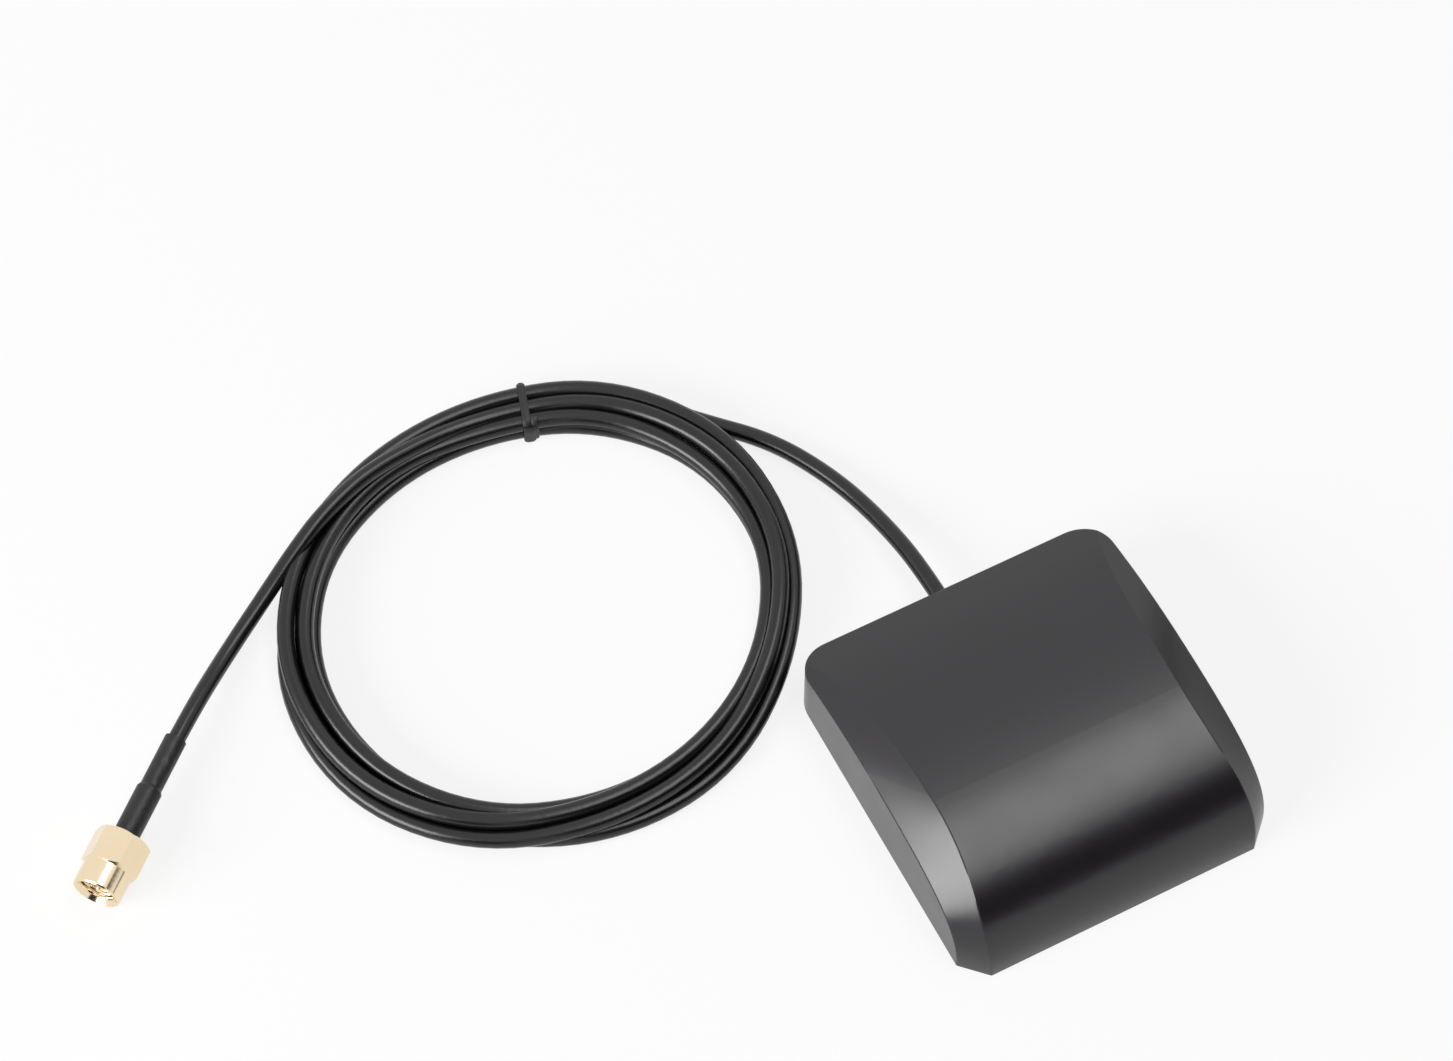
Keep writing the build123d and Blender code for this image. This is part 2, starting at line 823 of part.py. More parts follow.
for name, piece in {
    "top_cover": top_cover,
    "base_cover": base_cover,
    "seal_gasket": seal_gasket,
    "base_screws": base_screws,
    "magnets": magnets,
    "circuit_board": circuit_board,
    "board_screws": board_screws,
    "patch_adhesive": patch_adhesive,
    "ground_electrode": ground_electrode,
    "ceramic_patch": ceramic_patch,
    "patch_electrode": patch_electrode,
    "feed_pin": feed_pin,
    "shield_can": shield_can,
    "amplifier_chip": amplifier_chip,
    "band_filter": band_filter,
    "voltage_regulator": voltage_regulator,
    "small_components": small_components,
    "signal_joint": signal_joint,
    "cable_core": cable_core,
    "crimp_ring": crimp_ring,
    "strain_relief": strain_relief,
    "cable_lead": cable_lead,
    "cable_coil": cable_coil,
    "cable_tie": cable_tie,
    "cable_tail": cable_tail,
    "heat_shrink": heat_shrink,
    "crimp_ferrule": crimp_ferrule,
    "crimped_braid": crimped_braid,
    "connector_body": connector_body,
    "connector_dielectric": connector_dielectric,
    "centre_contact": centre_contact,
    "mating_seal": mating_seal,
    "snap_ring": snap_ring,
    "coupling_nut": coupling_nut,
}.items():
    piece.part.label = name
    export_step(piece.part, f"parts/{name}.step")
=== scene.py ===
"""Magnetic puck antenna with a coiled lead and a gold plug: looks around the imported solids.

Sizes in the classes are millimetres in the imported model's frame. Blender is given metres.
"""

from __future__ import annotations

import logging
import math
from dataclasses import dataclass
from enum import Enum

import bpy
import bmesh
from mathutils import Matrix, Vector

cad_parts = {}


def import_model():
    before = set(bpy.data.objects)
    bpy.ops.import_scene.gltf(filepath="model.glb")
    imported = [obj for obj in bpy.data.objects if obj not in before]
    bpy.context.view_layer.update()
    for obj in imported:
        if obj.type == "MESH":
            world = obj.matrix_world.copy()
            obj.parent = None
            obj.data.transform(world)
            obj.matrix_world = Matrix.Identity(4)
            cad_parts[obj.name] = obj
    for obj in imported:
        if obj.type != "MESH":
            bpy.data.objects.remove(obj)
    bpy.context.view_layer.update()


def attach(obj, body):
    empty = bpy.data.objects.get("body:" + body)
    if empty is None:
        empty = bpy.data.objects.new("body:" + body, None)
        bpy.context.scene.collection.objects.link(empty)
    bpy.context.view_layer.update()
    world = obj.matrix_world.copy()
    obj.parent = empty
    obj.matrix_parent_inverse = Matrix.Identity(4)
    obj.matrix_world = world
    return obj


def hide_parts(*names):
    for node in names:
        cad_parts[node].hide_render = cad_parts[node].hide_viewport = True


MM = 0.001
ANTENNA_BODY = "antenna"
COUPLING_BODY = "coupling"

UP = Vector((0, 0, 1))

Point = tuple[float, float, float]

log = logging.getLogger("antenna")


# Small helpers


def linear(code: str) -> tuple[float, float, float, float]:
    """Turn an sRGB hex colour into the linear colour that shaders take.

    Args:
        code: colour as "#rrggbb".

    Returns:
        Red, green and blue in linear light, and an alpha of one.
    """
    parts = [int(code[i : i + 2], 16) / 255 for i in (1, 3, 5)]
    red, green, blue = (
        p / 12.92 if p <= 0.04045 else ((p + 0.055) / 1.055) ** 2.4 for p in parts
    )
    return (red, green, blue, 1.0)


def noise_scale(grain_mm: float) -> float:
    """Scale at which a noise texture's grains are about as long as the given millimetres."""
    return 1 / (grain_mm * MM)


def wave_scale(period_mm: float) -> float:
    """Scale at which a wave texture, which turns by 20 radians per unit, repeats so often."""
    return 2 * math.pi / 20 / (period_mm * MM)


def metres(*point_mm: float) -> Vector:
    """A point in metres from its millimetres."""
    return Vector(point_mm) * MM


def add_node(
    tree: bpy.types.NodeTree,
    kind: str,
    settings: dict | None = None,
    links: dict | None = None,
) -> bpy.types.Node:
    """Add one node, set it up and link its inputs.

    Args:
        tree: node tree that gets the node.
        kind: node's type name.
        settings: values by node attribute, input name or input number.
        links: output sockets by input name or number.

    Returns:
        The new node.
    """
    node = tree.nodes.new(kind)
    for key, value in (settings or {}).items():
        if isinstance(key, str) and hasattr(node, key):
            setattr(node, key, value)
        else:
            node.inputs[key].default_value = value
    for key, socket in (links or {}).items():
        tree.links.new(socket, node.inputs[key])
    return node


def skin(shape: bmesh.types.BMesh, rings: list[list[Vector]], closed: bool) -> None:
    """Join rings of points into a tube.

    Args:
        shape: mesh that gets the tube.
        rings: rings of points in millimetres, all with as many points.
        closed: whether the last ring meets the first; otherwise both ends are capped.
    """
    made = [[shape.verts.new(point * MM) for point in ring] for ring in rings]
    pairs = list(zip(made, made[1:]))
    if closed:
        pairs.append((made[-1], made[0]))
    else:
        shape.faces.new(made[0])
        shape.faces.new(made[-1])
    for ring, following in pairs:
        for spot in range(len(ring)):
            after = (spot + 1) % len(ring)
            shape.faces.new((ring[spot], ring[after], following[after], following[spot]))


def solid_mesh(name: str, shape: bmesh.types.BMesh) -> bpy.types.Mesh:
    """Turn a built shape into a smooth-shaded mesh whose faces look outward.

    Args:
        name: mesh's name.
        shape: built shape, freed here.

    Returns:
        The mesh.
    """
    bmesh.ops.recalc_face_normals(shape, faces=shape.faces)
    for face in shape.faces:
        face.smooth = True
    mesh = bpy.data.meshes.new(name)
    shape.to_mesh(mesh)
    shape.free()
    mesh.set_sharp_from_angle(angle=math.radians(40))
    return mesh


# Finishes


class Relief(Enum):
    """How a surface was made, which says what its fine relief looks like."""

    MOULDED = "spark-eroded grain of a mould"
    EXTRUDED = "soft waves of an extruded jacket"
    SHRUNK = "wrinkles of a shrunk sleeve"
    TURNED = "rings left by a lathe"
    ROLLED = "grain drawn one way by rolling"
    PITTED = "fine pits of a plated, fired or foamed surface"
    WOVEN = "glass cloth or braid showing through"


@dataclass(frozen=True)
class Finish:
    """One real material and how its surface was made.

    The colour drifts to the shade, and the roughness by the spread, in clouds of a few
    millimetres. The relief repeats at the grain's length and is as deep as the depth. A
    rolled grain is longer by the drawn share.
    """

    name: str
    colour: str
    shade: str
    roughness: float
    relief: Relief
    grain_mm: float
    depth_mm: float
    metallic: float = 0.0
    ior: float = 1.5
    spread: float = 0.05
    coat: float = 0.0
    cloud_mm: float = 9.0
    drawn_share: float = 0.08

    def waves(
        self,
        tree: bpy.types.NodeTree,
        place: bpy.types.NodeSocket,
        way: str,
        distortion: float,
        detail: float,
    ) -> bpy.types.NodeSocket:
        """Bands across one axis.

        Args:
            tree: the material's node tree.
            place: coordinates in metres.
            way: axis that the bands follow each other along.
            distortion: how far the bands stray.
            detail: how finely they stray.

        Returns:
            Socket that carries the height.
        """
        bands = add_node(
            tree,
            "ShaderNodeTexWave",
            {
                "bands_direction": way,
                "Scale": wave_scale(self.grain_mm),
                "Distortion": distortion,
                "Detail": detail,
            },
            {"Vector": place},
        )
        return bands.outputs["Fac"]

    def pattern(self, tree: bpy.types.NodeTree, place: bpy.types.NodeSocket) -> bpy.types.NodeSocket:
        """Height pattern of the relief, from 0 to 1.

        Args:
            tree: the material's node tree.
            place: coordinates in metres.

        Returns:
            Socket that carries the height.
        """
        if self.relief is Relief.TURNED:
            along_plug = add_node(
                tree,
                "ShaderNodeMapping",
                {"Rotation": (0.0, 0.0, -math.radians(Plug.bearing))},
                {"Vector": place},
            )
            return self.waves(tree, along_plug.outputs["Vector"], "X", 0.6, 1.0)
        if self.relief is Relief.WOVEN:
            crossed = add_node(
                tree,
                "ShaderNodeMath",
                {"operation": "MAXIMUM"},
                {number: self.waves(tree, place, way, 0.4, 2.0) for number, way in enumerate("XY")},
            )
            return crossed.outputs["Value"]
        if self.relief is Relief.ROLLED:
            drawn = add_node(
                tree, "ShaderNodeMapping", {"Scale": (1.0, self.drawn_share, 1.0)}, {"Vector": place}
            )
            place = drawn.outputs["Vector"]
        detail = {Relief.MOULDED: 2.0, Relief.PITTED: 4.0}.get(self.relief, 1.0)
        grain = add_node(
            tree,
            "ShaderNodeTexNoise",
            {"Scale": noise_scale(self.grain_mm), "Detail": detail, "Roughness": 0.55},
            {"Vector": place},
        )
        return grain.outputs["Fac"]

    def material(self) -> bpy.types.Material:
        """Build the finish as a node material.

        Returns:
            The material, made once for each name.
        """
        made = bpy.data.materials.get(self.name)
        if made:
            return made
        made = bpy.data.materials.new(self.name)
        made.use_nodes = True
        tree = made.node_tree
        tree.nodes.clear()
        place = add_node(tree, "ShaderNodeTexCoord").outputs["Object"]
        clouds = add_node(
            tree,
            "ShaderNodeTexNoise",
            {"Scale": noise_scale(self.cloud_mm), "Detail": 3.0},
            {"Vector": place},
        )
        height = self.pattern(tree, place)
        tone = add_node(
            tree,
            "ShaderNodeMix",
            {"data_type": "RGBA", 6: linear(self.colour), 7: linear(self.shade)},
            {0: clouds.outputs["Fac"]},
        )
        gloss = add_node(
            tree,
            "ShaderNodeMapRange",
            {"To Min": self.roughness - self.spread, "To Max": self.roughness + self.spread},
            {"Value": clouds.outputs["Fac"]},
        )
        bump = add_node(
            tree,
            "ShaderNodeBump",
            {"Distance": self.depth_mm * MM, "Strength": 1.0},
            {"Height": height},
        )
        surface = add_node(
            tree,
            "ShaderNodeBsdfPrincipled",
            {"Metallic": self.metallic, "IOR": self.ior, "Coat Weight": self.coat},
            {
                "Base Color": tone.outputs[2],
                "Roughness": gloss.outputs["Result"],
                "Normal": bump.outputs["Normal"],
            },
        )
        add_node(
            tree, "ShaderNodeOutputMaterial", links={"Surface": surface.outputs["BSDF"]}
        )
        return made


# Moulded ABS: satin black with a fine even grain, so lamps show as wide soft bands.
COVER_ABS = Finish("moulded_abs_satin", "#1a161b", "#131014", 0.3, Relief.MOULDED, 0.35, 0.0012, ior=1.58)
# The same plastic from a duller mould: reflections spread further.
BASE_ABS = Finish("moulded_abs_matt", "#171717", "#101011", 0.55, Relief.MOULDED, 0.5, 0.01)
# Extruded PVC: satin black, with a narrow streak of light along each strand.
JACKET_PVC = Finish("extruded_pvc", "#131214", "#0d0c0d", 0.26, Relief.EXTRUDED, 1.3, 0.02, ior=1.49)
# Moulded polyamide: a shade duller than the jacket beside it.
TIE_NYLON = Finish("moulded_polyamide", "#161516", "#0e0e0e", 0.5, Relief.MOULDED, 0.3, 0.008)
# Shrunk polyolefin: matt, soft-edged, with faint wrinkles.
SLEEVE_POLYOLEFIN = Finish(
    "shrunk_polyolefin", "#101010", "#0a0a0a", 0.45, Relief.SHRUNK, 1.7, 0.2
)
# Gold plate over turned brass: bright and smooth. Its pale cream colour is partly the gold's own tone and
# partly painted highlight, whitened as if blown out.
# The lathe's rings are far finer than a pixel, so they are drawn wider apart.
GOLD_PLATE_AND_PAINTED_GLARE = Finish(
    # Painted highlight: these colours are paler than the gold itself, as if lit to glare.
    "gold_plated_brass", "#f3e2c6", "#ecd6b1", 0.15, Relief.TURNED, 0.88, 0.0006,
    metallic=1.0, spread=0.03,
)
# Turned PTFE: waxy white with no sharp highlight.
PTFE = Finish("turned_ptfe", "#f1f0ea", "#e6e4dc", 0.4, Relief.TURNED, 0.63, 0.001, ior=1.36)
# Silicone rubber seals: matt and soft, one red-brown and one black.
RED_SILICONE = Finish("silicone_red", "#7a2c20", "#662218", 0.6, Relief.EXTRUDED, 0.4, 0.004, ior=1.41)
BLACK_SILICONE = Finish("silicone_black", "#141414", "#0e0e0e", 0.6, Relief.MOULDED, 0.4, 0.004, ior=1.41)
# Zinc-plated steel: blue-grey metal with a fine even grain.
ZINC_STEEL = Finish(
    "zinc_plated_steel", "#b9bcc2", "#a3a6ac", 0.32, Relief.PITTED, 0.12, 0.001, metallic=1.0
)
# Sintered magnet under nickel: duller grey with tiny pits.
NICKEL_MAGNET = Finish(
    "nickel_plated_magnet", "#a8a6a0", "#908e88", 0.38, Relief.PITTED, 0.18, 0.002, metallic=1.0
)
# Epoxy and glass cloth under a green mask: the weave shows faintly and is drawn coarse.
BOARD_LAMINATE = Finish(
    "masked_glass_epoxy", "#15503a", "#0f4330", 0.35, Relief.WOVEN, 3.14, 0.003, coat=0.3
)
# Double-sided foam tape: off-white, open cells, no gloss.
FOAM_TAPE = Finish("acrylic_foam_tape", "#d8d0ba", "#cbc2aa", 0.8, Relief.PITTED, 0.3, 0.02)
# Silver ink fired on ceramic: dull, near-white metal with a grainy print.
FIRED_SILVER = Finish(
    "fired_silver", "#dcdad3", "#cfccc2", 0.45, Relief.PITTED, 0.15, 0.003, metallic=1.0
)
# Dense fired ceramic: beige, lightly glazed look of a ground face.
FIRED_CERAMIC = Finish("fired_ceramic", "#cdbb98", "#c2af8b", 0.35, Relief.PITTED, 0.2, 0.003, ior=1.7)
# Solder and tinned pins: bright, slightly uneven.
SOLDER_TIN = Finish("solder_tin", "#d5d5d3", "#c2c2c0", 0.28, Relief.PITTED, 0.4, 0.004, metallic=1.0)
# Tinned steel sheet: drawn grain along one way.
TINPLATE = Finish("rolled_tinplate", "#cfcec8", "#bdbcb6", 0.3, Relief.ROLLED, 0.1, 0.001, metallic=1.0)
# Moulding epoxy of chips: charcoal with a sandy grain.
CHIP_EPOXY = Finish("moulded_epoxy", "#1c1c1d", "#151516", 0.55, Relief.MOULDED, 0.12, 0.002)
# Gold-washed lid of the filter: pale yellow metal.
WASHED_LID = Finish("gold_washed_lid", "#d8cb98", "#c9bb86", 0.25, Relief.ROLLED, 0.1, 0.001, metallic=1.0)
# Fired chip ceramic: brown and matt.
CHIP_CERAMIC = Finish("fired_chip_ceramic", "#86694a", "#72583c", 0.5, Relief.PITTED, 0.15, 0.002)
# Polyethylene insulation of the stripped lead: milky white and waxy.
POLYETHYLENE = Finish("extruded_polyethylene", "#eceae4", "#dfddd5", 0.42, Relief.EXTRUDED, 0.6, 0.004)
# Tinned copper braid: crossing wires that glint.
COPPER_BRAID = Finish(
    "tinned_copper_braid", "#c3b39c", "#8f7a60", 0.35, Relief.WOVEN, 1.88, 0.05, metallic=1.0
)


def dress(finish: Finish, *nodes: str) -> None:
    """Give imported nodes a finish.

    Args:
        finish: what the nodes are made of.
        nodes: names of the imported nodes.
    """
    for name in nodes:
        obj = bpy.data.objects[name]
        obj.data.materials.clear()
        obj.data.materials.append(finish.material())
        log.info("%s is %s", name, finish.name)


def add_piece(name: str, data: bpy.types.ID, finish: Finish, body: str) -> bpy.types.Object:
    """Put a new piece in the scene and tie it to a body.

    Args:
        name: piece's name.
        data: mesh or curve.
        finish: what it is made of.
        body: body that it moves with.

    Returns:
        The new object.
    """
    piece = bpy.data.objects.new(name, data)
    bpy.context.collection.objects.link(piece)
    data.materials.append(finish.material())
    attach(piece, body)
    log.info("%s rides on %s in %s", name, body, finish.name)
    return piece


# The puck


@dataclass
class Puck:
    """Moulded housing with its screws and magnets, and the board with all that it carries."""

    def housing(self) -> None:
        """Dress the two shells, their seals, their screws and the magnets."""
        dress(COVER_ABS, "top_cover")
        dress(BASE_ABS, "base_cover")
        dress(BLACK_SILICONE, "seal_gasket", "strain_relief")
        dress(ZINC_STEEL, "base_screws", "board_screws")
        dress(NICKEL_MAGNET, "magnets")

    def receiver(self) -> None:
        """Dress the board, the patch, the amplifier under its can and the lead's end."""
        dress(BOARD_LAMINATE, "circuit_board")
        dress(FOAM_TAPE, "patch_adhesive")
        dress(FIRED_SILVER, "ground_electrode", "patch_electrode")
        dress(FIRED_CERAMIC, "ceramic_patch")
        dress(SOLDER_TIN, "feed_pin", "signal_joint")
        dress(TINPLATE, "shield_can", "crimp_ring")
        dress(CHIP_EPOXY, "amplifier_chip", "voltage_regulator")
        dress(WASHED_LID, "band_filter")
        dress(CHIP_CERAMIC, "small_components")
        dress(POLYETHYLENE, "cable_core")

    def build(self) -> None:
        """Dress every piece of the puck."""
        self.housing()
        self.receiver()


# The lead


@dataclass(frozen=True)
class Section:
    """Coil cut at one bearing: each turn's strand by its number.

    A strand is placed by how far it lies outward of the bundle's middle, and its height.
    """

    bearing: float
    middle: float
    strands: dict[int, tuple[float, float]]


# Away from the tie five strands slide up into a narrow pile.
PILED = {0: (1.9, 4.1), 1: (-1.9, 4.1), 2: (-1.5, 1.4), 3: (1.4, 1.4), 4: (-0.1, 6.2)}

SECTIONS = (
    # The pile spreads where the lead slips in under the outer strand.
    Section(
        20, 38.8,
        {1: (2.5, 4.0), 2: (-2.9, 3.9), 3: (-2.2, 1.4), 4: (0.6, 1.4), 5: (-0.2, 5.0)},
    ),
    Section(
        50, 37.5,
        {
            0: (2.7, 1.4), 1: (2.6, 4.0), 2: (-2.6, 4.0),
            3: (-2.9, 1.4), 4: (0.0, 1.4), 5: (0.0, 4.3),
        },
    ),
    # The tie presses six strands into two rows of three.
    Section(
        80, 35.4,
        {
            0: (2.7, 1.4), 1: (1.5, 4.2), 2: (-3.3, 3.7),
            3: (-2.8, 1.4), 4: (-0.1, 1.4), 5: (-1.2, 4.0),
        },
    ),
    # The tail climbs over the outer strand and leaves.
    Section(
        110, 35.5,
        {
            0: (2.4, 1.4), 1: (1.2, 4.0), 2: (-1.4, 4.0),
            3: (-2.5, 1.4), 4: (0.0, 1.4), 5: (-1.5, 6.6),
        },
    ),
    Section(
        140, 37.0,
        {0: (1.9, 1.4), 1: (1.4, 4.7), 2: (-1.5, 4.7), 3: (-2.0, 1.4), 4: (-0.1, 2.8)},
    ),
    # The bundle opens to two rows.
    Section(
        170, 38.7,
        {0: (0.1, 1.4), 1: (1.6, 5.0), 2: (-1.4, 4.4), 3: (-2.5, 1.4), 4: (2.4, 2.5)},
    ),
    Section(
        200, 39.2,
        {0: (0.0, 1.4), 1: (1.3, 3.9), 2: (-1.9, 3.9), 3: (-2.9, 1.4), 4: (2.9, 1.4)},
    ),
    # The rows roll inward by one place.
    Section(
        230, 38.5,
        {0: (0.6, 1.4), 1: (0.2, 4.3), 2: (-2.1, 3.5), 3: (-1.6, 1.4), 4: (2.6, 2.8)},
    ),
    Section(
        260, 36.7,
        {0: (2.7, 1.4), 1: (-1.3, 3.9), 2: (-2.7, 1.4), 3: (-0.1, 1.4), 4: (1.7, 3.9)},
    ),
    Section(
        290, 36.7,
        {0: (2.8, 1.4), 1: (-2.1, 3.9), 2: (-2.7, 1.4), 3: (0.0, 1.4), 4: (0.7, 3.9)},
    ),
    Section(320, 37.0, PILED),
    Section(350, 38.4, PILED),
)


@dataclass
class Lead:
    """Thin coaxial lead: free part, tied coil and free tail, as one cord."""

    diameter: float = 2.8
    length: float = 1360.0
    centre: tuple[float, float] = (-55.7, 57.7)
    exit_point: Point = (0.0, 29.5, 5.0)
    free_lead: tuple[Point, ...] = (
        (0.0, 22.55, 5.0),
        (0.0, 34.6, 5.0),
        (-1.0, 46.6, 3.0),
        (-3.6, 57.9, 1.4),
        (-9.2, 68.6, 1.4),
        (-17.7, 77.0, 1.4),
    )
    free_tail: tuple[Point, ...] = (
        (-78.6, 86.7, 7.0),
        (-85.8, 83.0, 5.6),
        (-93.0, 79.1, 3.1),
        (-102.0, 73.6, 1.6),
        (-112.3, 65.05, 4.0),
        (-122.4, 56.4, 4.0),
    )

    @property
    def turns(self) -> int:
        """Number of strands where the coil is thickest."""
        return max(len(section.strands) for section in SECTIONS)

    def control_point(self, turn: int, section: Section) -> Vector:
        """Control point of one turn in one section.

        A quadratic spline lies a little inside an even ring of control points, so the
        points stand that much further out.

        Args:
            turn: number of the turn.
            section: coil's section.

        Returns:
            Point in millimetres.
        """
        spacing = math.radians(360 / len(SECTIONS))
        inside = 0.75 + 0.25 * math.cos(spacing)
        outward, height = section.strands[turn]
        reach = (section.middle + outward) / inside
        bearing = math.radians(section.bearing)
        x, y = self.centre
        return Vector((x + reach * math.cos(bearing), y + reach * math.sin(bearing), height))

    def coil(self) -> list[Vector]:
        """Control points of the coil, turn after turn.

        Returns:
            Points in millimetres, from where the lead runs in to where the tail leaves.
        """
        return [
            self.control_point(turn, section)
            for turn in range(self.turns)
            for section in SECTIONS
            if turn in section.strands
        ]

    def halfway(self, turn: int, before: Section, after: Section) -> tuple[Vector, Vector]:
        """Where a strand lies half-way between two sections, and which way it runs.

        Args:
            turn: number of the turn.
            before: first section.
            after: next section.

        Returns:
            Place in millimetres and direction.
        """
        start, end = self.control_point(turn, before), self.control_point(turn, after)
        return (start + end) / 2, (end - start).normalized()

    def build(self, carried: list[bpy.types.Object]) -> bpy.types.Object:
        """Lay the lead as one smooth open spline.

        Args:
            carried: pieces at its far end; not used.

        Returns:
            The lead's curve object.
        """
        route = [*self.free_lead, *self.coil(), *self.free_tail]
        curve = bpy.data.curves.new("antenna_lead", "CURVE")
        curve.dimensions = "3D"
        curve.bevel_depth = self.diameter / 2 * MM
        curve.bevel_resolution = 4
        curve.resolution_u = 8
        curve.use_fill_caps = True
        spline = curve.splines.new("NURBS")
        spline.points.add(len(route) - 1)
        for point, place in zip(spline.points, route):
            point.co = (*metres(*place), 1.0)
        spline.order_u = 3
        spline.use_endpoint_u = True
        cord = add_piece("antenna_lead", curve, JACKET_PVC, ANTENNA_BODY)
        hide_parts("cable_lead", "cable_coil", "cable_tail")
        return cord


@dataclass(frozen=True)
class Strip:
    """Stretch of the tie, from one facing to another in degrees up from outward.

    It lies aside of the tie's middle by a length along the strands.
    """

    first: float
    last: float
    aside: float
    width: float
    thickness: float


@dataclass
class Tie:
    """Narrow moulded tie drawn tight round the strands."""

    bearing: float = 72.5
    held: tuple[Section, Section] = SECTIONS[1:3]
    past_halfway: float = 2.1
    strand_radius: float = Lead.diameter / 2
    sink: float = 0.1
    clearance: float = 0.03
    facing_step: float = 7.5
    fewest_steps: int = 8
    flat_share: float = 0.478
    band: Strip = Strip(0.0, 360.0, 0.0, 1.3, 0.55)
    folded_end: Strip = Strip(100.0, 205.0, -1.25, 1.1, 0.5)
    head: Strip = Strip(150.0, 200.0, -0.3, 1.9, 0.95)
    cut_end: Strip = Strip(-8.0, 30.0, 0.0, 1.0, 0.65)

    def profile(self, strip: Strip) -> list[tuple[float, float]]:
        """Section of a strip: a bar with cut corners.

        Args:
            strip: stretch of the tie.

        Returns:
            Each corner's place along the strands and above the strip's underside.
        """
        flat = self.flat_share
        corners = (
            (flat, 1), (1, flat), (1, -flat), (flat, -1),
            (-flat, -1), (-1, -flat), (-1, flat), (-flat, 1),
        )
        return [
            (strip.width / 2 * side, strip.thickness / 2 * (1 + rise)) for side, rise in corners
        ]

    @property
    def outward(self) -> Vector:
        """Direction from the coil's middle to the tie."""
        return Vector((math.cos(math.radians(self.bearing)), math.sin(math.radians(self.bearing)), 0))

    @property
    def along(self) -> Vector:
        """Direction in which the strands pass the tie."""
        return UP.cross(self.outward)

    def bundle(self, lead: Lead, aside: float) -> tuple[Vector, list[Vector]]:
        """Cut the bundle across, near the tie.

        Args:
            lead: the lead that the tie holds.
            aside: how far the cut lies from the tie's middle.

        Returns:
            The cut's middle on the ground, and each strand's place outward of it and above it.
        """
        passing = [lead.halfway(turn, *self.held) for turn in range(lead.turns)]
        middle = sum((place for place, _ in passing), Vector()) / len(passing)
        middle = Vector((middle.x, middle.y, 0)) + self.along * (self.past_halfway + aside)
        strands = []
        for place, way in passing:
            reach = (middle - place).dot(self.along) / way.dot(self.along)
            there = place + way * reach - middle
            strands.append(Vector((there.dot(self.outward), there.z)))
        return middle, strands

    def wrap(self, shape: bmesh.types.BMesh, lead: Lead, strip: Strip) -> None:
        """Lay one strip on the strands that it faces.

        Args:
            shape: mesh that gets the strip.
            lead: the lead that the tie holds.
            strip: stretch of the tie.
        """
        middle, strands = self.bundle(lead, strip.aside)
        span = strip.last - strip.first
        closed = span >= 360
        steps = max(self.fewest_steps, round(span / self.facing_step))
        rings = []
        for step in range(steps if closed else steps + 1):
            facing = math.radians(strip.first + span * step / steps)
            out = Vector((math.cos(facing), math.sin(facing)))
            strand = max(strands, key=out.dot)
            ring = []
            for side, rise in self.profile(strip):
                spot = strand + out * (self.strand_radius - self.sink + rise)
                height = max(spot.y, self.clearance)
                ring.append(middle + self.outward * spot.x + UP * height + self.along * side)
            rings.append(ring)
        skin(shape, rings, closed)

    def build(self, lead: Lead) -> bpy.types.Object:
        """Make the tie with its head and its two ends.

        Args:
            lead: the lead that the tie holds.

        Returns:
            The tie.
        """
        shape = bmesh.new()
        for strip in (self.band, self.folded_end, self.head, self.cut_end):
            self.wrap(shape, lead, strip)
        mesh = solid_mesh("coil_tie", shape)
        tie = add_piece("coil_tie", mesh, TIE_NYLON, ANTENNA_BODY)
        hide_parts("cable_tie")
        return tie


# The plug


@dataclass
class Plug:
    """Gold plug with its nut, insulator, pin and shrunk sleeve."""

    bearing: float = 220.6
    mouth: Point = (-137.0, 43.9, 4.0)
    bore_radius: float = 2.82
    pitch: float = 25.4 / 36
    crest: float = 0.17
    root: float = 0.03
    thread_span: tuple[float, float] = (0.55, 2.75)
    steps_per_turn: int = 60
    run_out_steps: int = 20
    carried: tuple[str, ...] = (
        "heat_shrink", "crimp_ferrule", "crimped_braid", "connector_body",
        "connector_dielectric", "centre_contact", "mating_seal", "snap_ring", "coupling_nut",
    )

    def thread(self) -> bpy.types.Object:
        """Make the nut's thread: one helical ridge that stands out of the bore's wall.

        Returns:
            The thread.
        """
        bearing = math.radians(self.bearing)
        inward = -Vector((math.cos(bearing), math.sin(bearing), 0))
        side = inward.cross(UP)
        first, last = self.thread_span
        steps = round((last - first) / self.pitch * self.steps_per_turn)
        flank = self.pitch / 2
        rings = []
        for step in range(steps + 1):
            angle = 2 * math.pi * step / self.steps_per_turn
            depth = first + self.pitch * step / self.steps_per_turn
            out = side * math.cos(angle) + UP * math.sin(angle)
            # The ridge runs out to nothing at both ends.
            crest = self.crest * min(1, step / self.run_out_steps, (steps - step) / self.run_out_steps)
            profile = (
                (self.root, -flank), (-crest, -flank / 4), (-crest, flank / 4), (self.root, flank),
            )
            rings.append(
                [
                    Vector(self.mouth) + inward * (depth + shift) + out * (self.bore_radius + rise)
                    for rise, shift in profile
                ]
            )
        shape = bmesh.new()
        skin(shape, rings, False)
        mesh = solid_mesh("nut_thread", shape)
        return add_piece("nut_thread", mesh, GOLD_PLATE_AND_PAINTED_GLARE, COUPLING_BODY)

    def build(self) -> list[bpy.types.Object]:
        """Dress the plug's pieces and add the nut's thread.

        Returns:
            Every piece at the lead's far end.
        """
        dress(SLEEVE_POLYOLEFIN, "heat_shrink")
        dress(
            GOLD_PLATE_AND_PAINTED_GLARE,
            "crimp_ferrule", "connector_body", "centre_contact", "coupling_nut", "snap_ring",
        )
        dress(COPPER_BRAID, "crimped_braid")
        dress(PTFE, "connector_dielectric")
        dress(RED_SILICONE, "mating_seal")
        return [*(bpy.data.objects[name] for name in self.carried), self.thread()]


# The studio


